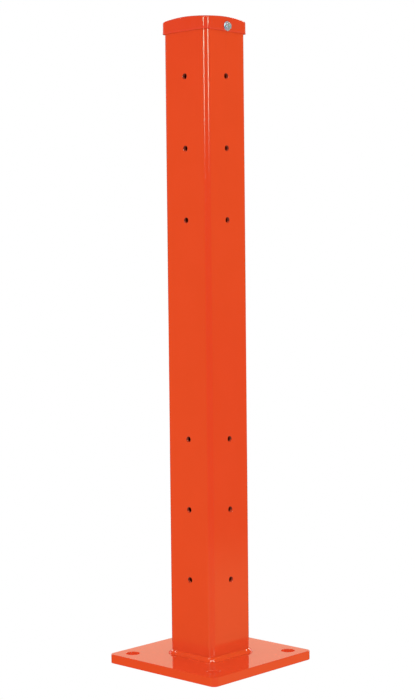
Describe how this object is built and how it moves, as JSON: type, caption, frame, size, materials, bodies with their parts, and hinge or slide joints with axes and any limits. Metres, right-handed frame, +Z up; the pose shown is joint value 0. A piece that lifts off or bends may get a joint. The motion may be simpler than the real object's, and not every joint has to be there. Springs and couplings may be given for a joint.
{
  "type": "guard rail post",
  "caption": "Square steel guard rail post welded to a square base plate, drilled for an upper and a lower rail on two adjacent faces and closed by a domed slip-over cap.",
  "frame": {"origin": "middle of the base plate's underside, on the floor", "axes": "+Z up along the post; +X is the face with the cap screw, -Y the face to its left in the picture"},
  "size_m": [0.254, 0.254, 1.1276],
  "materials": {
    "powder_coat": "gloss orange powder coat over steel",
    "cap_plastic": "gloss orange moulded plastic",
    "zinc_plate": "bright zinc-plated steel"
  },
  "bodies": {
    "root": {"base_plate": "powder_coat", "post_tube": "powder_coat", "base_weld": "powder_coat", "post_cap": "cap_plastic", "cap_screw": "zinc_plate"}
  },
  "joints": []
}
